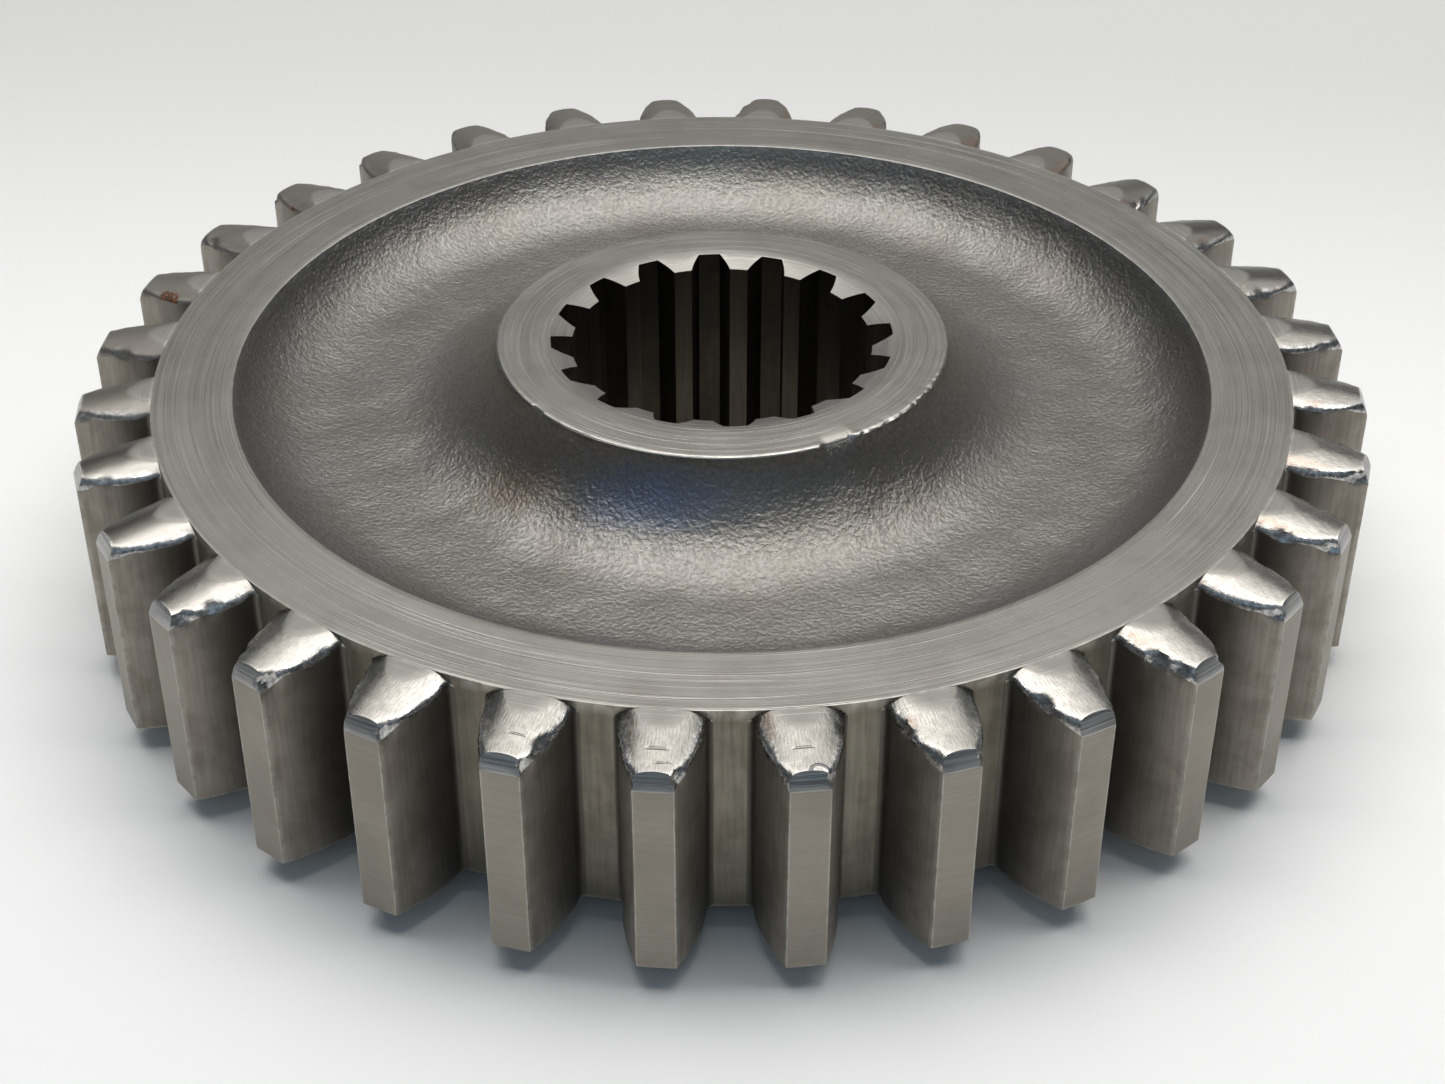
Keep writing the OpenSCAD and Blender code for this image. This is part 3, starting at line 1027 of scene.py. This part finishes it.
# %% Gloss and relief of the ends
gloss = less(tree, remap(tree, flow, 0.3, 0.7, 0.36, 0.28), times(tree, front, 0.05))
gloss = plus(tree, gloss, times(tree, rear, 0.22))
roughness = add_node(tree, "ShaderNodeMix", {0: worn, 2: 0.47, 3: gloss}, data_type="FLOAT")
roughness = plus(tree, roughness.outputs[0], times(tree, rusty["Mask"], 0.35))
metal = less(tree, 1.0, rusty["Mask"])
relief = plus(tree, times(tree, flow, 0.25), times(tree, hair, 0.22))
relief = plus(tree, relief, times(tree, rolled, times(tree, torn, 0.5)))
relief = times(tree, relief, worn)
relief = less(tree, relief, times(tree, plus(tree, dent["Bowl"], scratch), 0.5))
relief = plus(tree, relief, times(tree, dent["Ring"], 0.4))
relief = plus(tree, relief, times(tree, marks["Lines"], 0.08))
wire(rounded_end, colour, roughness, metal, relief, 0.6, 0.2 * MM)

# %% [markdown]
# ## Flanks, roots and bore
# These were cut along the axis, so their streaks run with the height. Flanks are rubbed brighter
# towards the tip and get painted shade towards the foot, deep in the gaps; root lands are lighter,
# and the bore is almost black, with painted shade in its grooves. One function makes all three,
# because only their tones differ.

# %% Material: streaked cut steel
def cut_steel(name, dark, light, rough, metal, inner, outer):
    """Steel cut along the axis: streaks run with the height, and painted shade makes it darker at
    the inner radius and lighter towards the outer.
    """
    material, tree = new_material(name)
    here = use(tree, place_group)
    film = use(tree, film_group, {"Size": 5.0})
    rub_glint = use(tree, rub_glint_group, {"Edge": mask(tree, "edge_rub")})
    drawn_out = vec(tree, "MULTIPLY", here["Point"], (1, 1, 0.06))
    streak = noise(tree, drawn_out, 2.2, 3.0)
    # Painted shade: darker at the inner radius, deep in a gap or groove, lighter towards the outer
    share = remap(tree, here["Radius"], inner, outer)
    share = times(tree, share, remap(tree, streak, 0.25, 0.7, 0.7, 1.0))
    colour = mix(tree, share, dark, light)
    colour = mix(tree, times(tree, film["Film"], 0.35), colour, (0.10, 0.08, 0.055, 1))
    # Edges partly worn and partly given a painted highlight
    colour = mix(tree, rub_glint["Mask"], colour, (0.55, 0.52, 0.46, 1))
    roughness = remap(tree, streak, 0.3, 0.7, rough + 0.05, rough - 0.05)
    wire(material, colour, roughness, metal, streak, 0.25, 0.05 * MM)


cut_steel(
    "flank", (0.15, 0.136, 0.115, 1), (0.36, 0.325, 0.275, 1), 0.46, 0.7, root_r + 1, tip_r)
cut_steel(
    "root_land", (0.19, 0.175, 0.142, 1), (0.28, 0.258, 0.21, 1), 0.46, 1.0, root_r - 2, root_r)
cut_steel(
    "bore", (0.05, 0.045, 0.036, 1), (0.10, 0.088, 0.07, 1), 0.45, 1.0, groove_r, land_r)

# %% [markdown]
# ## The finished piece
# The mesh becomes an object that stands for the plain solid. Faces are smooth apart from real
# corners, and each zone of the patchwork takes the finish of the same name.

# %% Make the gear and hand it to the frame
def add_object(name, data):
    """Places a mesh, a light or a camera in the scene under a name."""
    made = bpy.data.objects.new(name, data)
    bpy.context.collection.objects.link(made)
    return made


CORNER = math.radians(38)
for zone in ZONES:
    gear_mesh.materials.append(bpy.data.materials[zone])
gear_mesh.shade_smooth()
gear_mesh.set_sharp_from_angle(angle=CORNER)
gear = add_object("worn_sliding_gear", gear_mesh)
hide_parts("sliding_gear")
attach(gear, "root")
print("gear:", [round(d / MM, 2) for d in gear.dimensions])

# %% [markdown]
# ## Floor and backdrop
# A pale floor sweeps up into a backdrop, as in a studio. It is one bent sheet, because two
# planes would show a line where they meet, and it darkens towards the back.

# %% One sheet for the floor and the backdrop, in metres
half_width, front_end, bend_start, bend_r, wall_top = 3, -2.5, 0.9, 0.5, 3.0
sweep_x = np.linspace(-half_width, half_width, 2)
sweep_t = np.linspace(0, math.pi / 2, 16)
sweep_y = bend_start + bend_r * np.sin(sweep_t)
sweep_y = np.concatenate([[front_end], sweep_y, [bend_start + bend_r]])
sweep_z = np.concatenate([[0.0], bend_r - bend_r * np.cos(sweep_t), [wall_top]])
sweep = np.stack(np.broadcast_arrays(sweep_x, sweep_y[:, None], sweep_z[:, None]), axis=-1)
cells = np.arange(len(sweep_y) * 2).reshape(-1, 2)
cells = np.stack([cells[:-1, 0], cells[:-1, 1], cells[1:, 1], cells[1:, 0]], axis=-1)
floor_mesh = bpy.data.meshes.new("floor")
floor_mesh.from_pydata(sweep.reshape(-1, 3), [], cells)
floor_mesh.shade_smooth()
floor = add_object("floor", floor_mesh)
print("floor, m:", [round(d, 2) for d in floor.dimensions])

# %% Material: pale floor
pale, tree = new_material("pale_floor")
spot = add_node(tree, "ShaderNodeTexCoord").outputs["Object"]
depth = add_node(tree, "ShaderNodeSeparateXYZ", {0: spot}).outputs["Y"]
depth = remap(tree, depth, 0.0, 0.2)
tone = mix(tree, depth, (0.95, 0.945, 0.93, 1), (0.66, 0.655, 0.645, 1))
set_inputs(tree, tree.nodes["Principled BSDF"], {"Base Color": tone, "Roughness": 0.5})
floor_mesh.materials.append(pale)
print("floor's finish:", pale.name)

# %% [markdown]
# ## Light
# Two large soft lights hang above and behind the gear, so that slopes facing the camera mirror
# them while steep walls stay dark. A weak bluish fill comes from the front. Small lamps would
# be simpler, but on metal they show as hard white spots.

# %% Lights
WARM, COOL = (1.0, 0.985, 0.965), (0.55, 0.76, 1.0)


def soft_light(name, place_m, aim_m, size_m, watts, tint):
    """A rectangular soft light at a place, aimed at a point."""
    data = bpy.data.lights.new(name, "AREA")
    data.shape = "RECTANGLE"
    data.size, data.size_y = size_m
    data.energy = watts
    data.color = tint
    lamp = add_object(name, data)
    lamp.location = place_m
    lamp.rotation_mode = "QUATERNION"
    lamp.rotation_quaternion = (Vector(aim_m) - Vector(place_m)).to_track_quat("-Z", "Y")


soft_light("overhead", (0.05, 0.05, 0.9), (0.05, 0.05, 0), (1.3, 0.4), 7.0, WARM)
soft_light("behind", (0.05, 0.62, 0.9), (0.05, 0.62, 0), (1.4, 0.74), 5.4, WARM)
soft_light("front_fill", (0, -1.0, 0.9), (0, 0, 0), (1.6, 0.8), 1.4, COOL)
soft_light("backdrop_light", (0, 0.75, 1.7), (0, 1.4, 0.5), (1.6, 0.4), 1.3, WARM)
world = bpy.data.worlds.new("soft_room")
bpy.context.scene.world = world
world.use_nodes = True
set_inputs(world.node_tree, world.node_tree.nodes["Background"], {
    "Color": (0.7, 0.85, 1.0, 1), "Strength": 0.1,
})
print("lights, W:", {light.name: round(light.energy, 2) for light in bpy.data.lights})

# %% [markdown]
# ## Camera
# The camera stands where the photograph was taken from. Its place and turn come from a fit to
# the photograph and are plain numbers here.

# %% Camera at the photograph's place
camera_r, camera_a, camera_z = 278.15, math.radians(-85.12), 196.36
tilt, pan, roll = 0.6099, -0.0848, 0.001
level_part = math.cos(tilt)
forward = Vector((math.sin(pan) * level_part, math.cos(pan) * level_part, -math.sin(tilt)))
right = forward.cross(Vector((0, 0, 1))).normalized()
up = right.cross(forward)
right, up = (
    right * math.cos(roll) + up * math.sin(roll),
    up * math.cos(roll) - right * math.sin(roll),
)
camera_data = bpy.data.cameras.new("camera")
camera_data.sensor_width = 36
camera_data.lens = 59.95
camera = add_object("camera", camera_data)
seat = Vector((math.cos(camera_a) * camera_r, math.sin(camera_a) * camera_r, camera_z)) * MM
camera.matrix_world = Matrix.Translation(seat) @ Matrix((right, up, -forward)).transposed().to_4x4()
scene = bpy.context.scene
scene.camera = camera
scene.view_settings.view_transform = "Standard"
print("camera at, mm:", [round(v / MM, 1) for v in seat])
